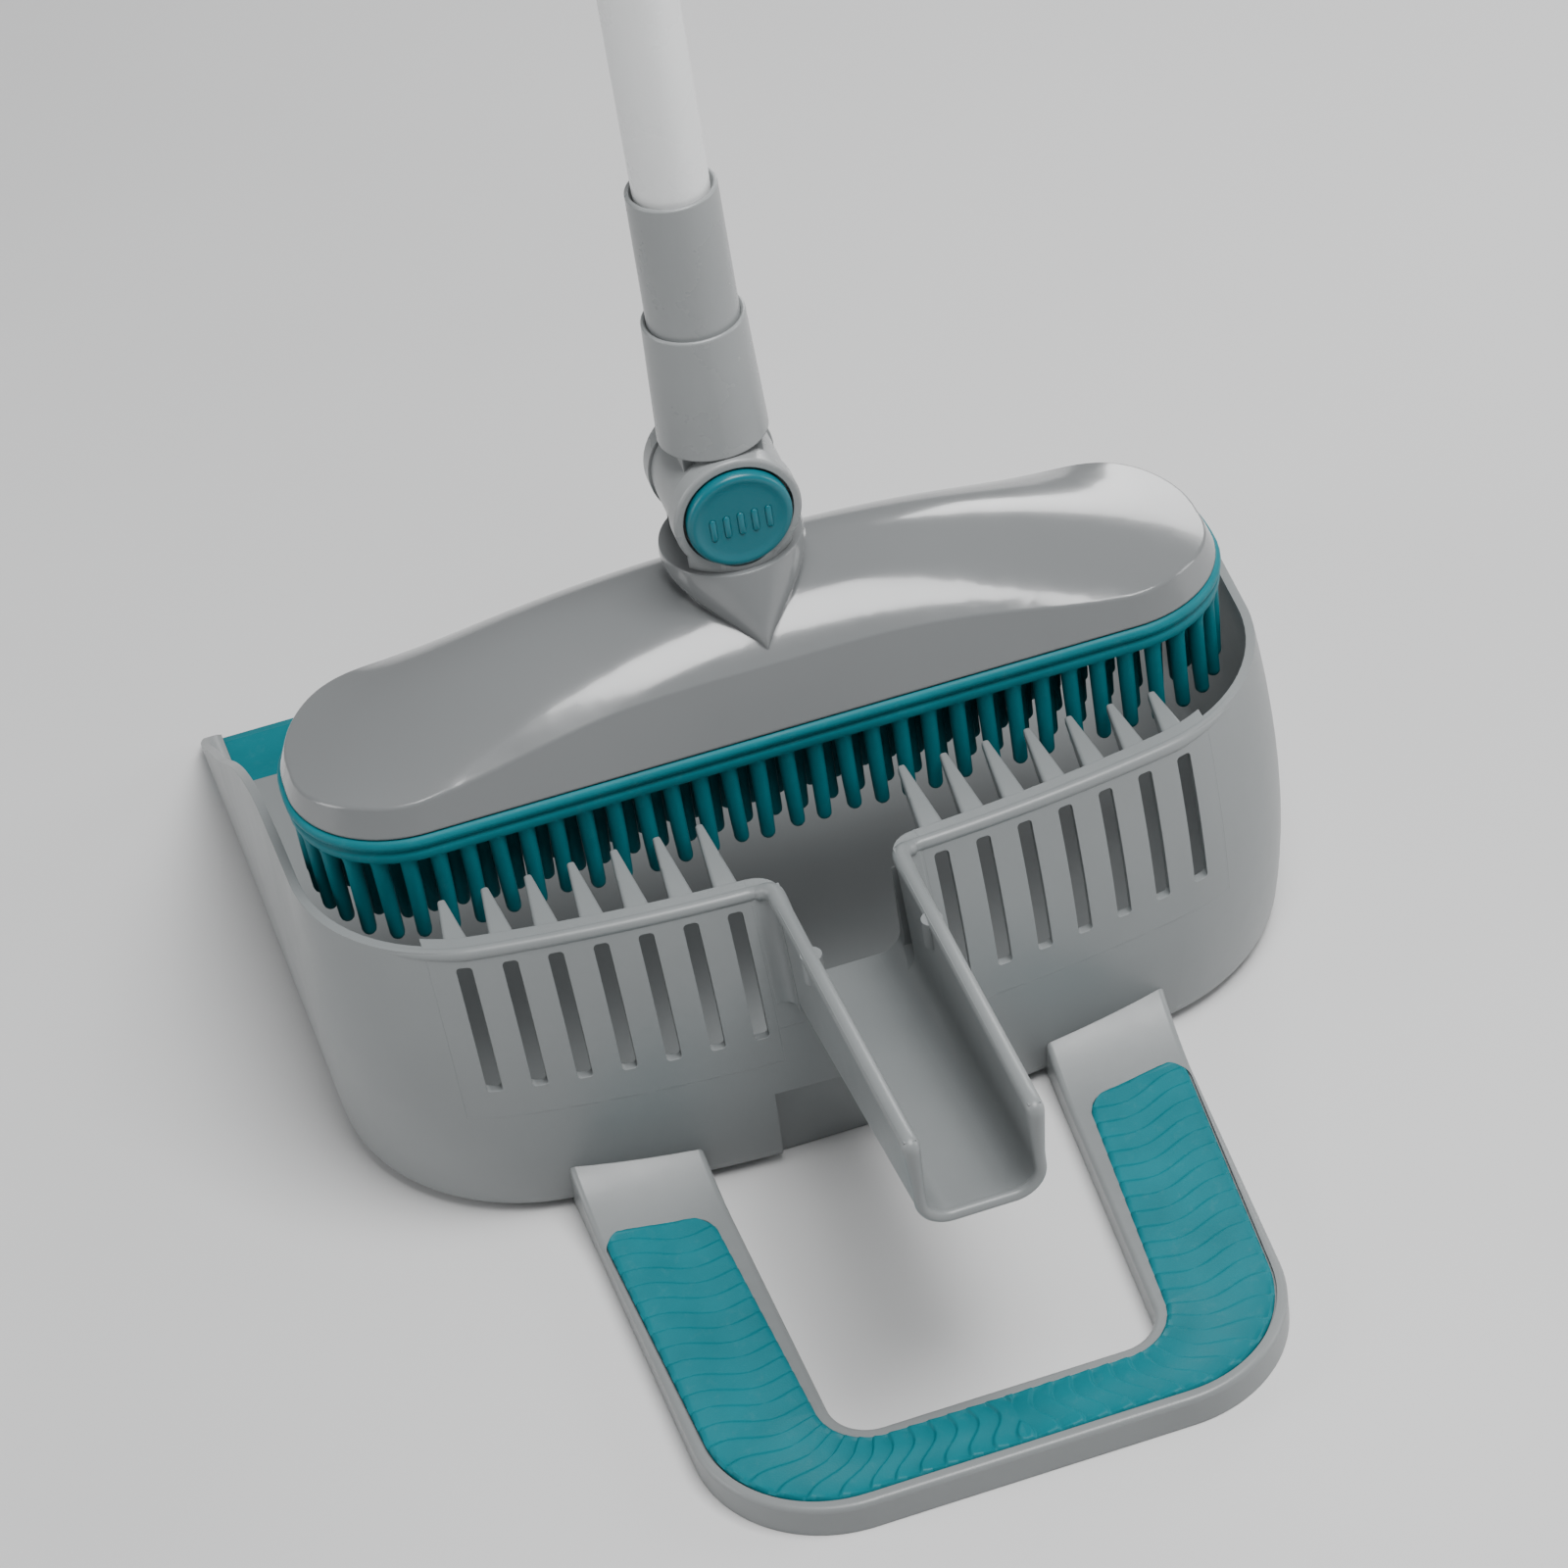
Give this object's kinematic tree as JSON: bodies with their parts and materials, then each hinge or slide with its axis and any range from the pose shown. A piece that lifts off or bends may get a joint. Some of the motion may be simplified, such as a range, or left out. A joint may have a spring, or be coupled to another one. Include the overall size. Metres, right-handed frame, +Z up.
{
  "type": "carpet broom with comb dustpan",
  "caption": "Rubber-bristle carpet broom with a push-button swivel head and telescopic pole, standing in a step-on comb dustpan.",
  "frame": {"origin": "on the floor under the middle of the whole object", "axes": "+Z up, +Y towards the dustpan's mouth, +X to the right seen from the foot loop"},
  "size_m": [0.329, 0.426, 0.978],
  "materials": {
    "pan_plastic": "satin moulded grey",
    "cover_plastic": "glossy moulded grey",
    "joint_plastic": "satin moulded grey",
    "inner_plastic": "plain natural",
    "teal_rubber": "soft moulded teal",
    "teal_plastic": "satin teal",
    "pole_paint": "powder-coated light grey",
    "grip_rubber": "soft-touch dark grey",
    "steel": "zinc plated"
  },
  "bodies": {
    "dustpan": {"pan_tray": "pan_plastic", "comb_left": "pan_plastic", "comb_right": "pan_plastic", "pole_cradle": "pan_plastic", "foot_loop": "pan_plastic", "foot_pad": "teal_rubber", "front_lip": "teal_rubber"},
    "broom_head": {"head_cover": "cover_plastic", "bristle_mat": "teal_rubber", "bristle_carrier": "inner_plastic", "cover_screws": "steel", "swivel_fork": "joint_plastic", "fork_screw": "steel", "pivot_pin": "steel", "pivot_cap": "joint_plastic", "button_spring": "steel"},
    "button": {"push_button": "teal_plastic"},
    "handle": {"handle_socket": "joint_plastic", "pole_adaptor": "joint_plastic", "lower_pole": "pole_paint", "guide_bush": "inner_plastic", "clamp_collet": "inner_plastic"},
    "collar": {"twist_collar": "joint_plastic"},
    "upper_handle": {"upper_pole": "pole_paint", "inner_glide": "inner_plastic", "hand_grip": "grip_rubber", "hanging_cap": "joint_plastic"}
  },
  "joints": [
    {"name": "head_lift", "type": "slide", "parent": "dustpan", "child": "broom_head", "axis": [0, 0, 1], "range_m": [0, 0.15]},
    {"name": "handle_swivel", "type": "hinge", "parent": "broom_head", "child": "handle", "pos_m": [0, 0.0135, 0.195], "axis": [0, 1, 0], "range_deg": [-90, 90]},
    {"name": "button_press", "type": "slide", "parent": "broom_head", "child": "button", "axis": [0, 1, 0], "range_m": [0, 0.003], "stiffness_N_per_m": 900, "springref_m": -0.001, "deforming": ["button_spring"]},
    {"name": "pole_extension", "type": "slide", "parent": "handle", "child": "upper_handle", "axis": [0, 0, 1], "range_m": [0, 0.34]},
    {"name": "collar_twist", "type": "hinge", "parent": "handle", "child": "collar", "pos_m": [0, 0.0135, 0.72], "axis": [0, 0, 1], "range_deg": [0, 90]}
  ]
}
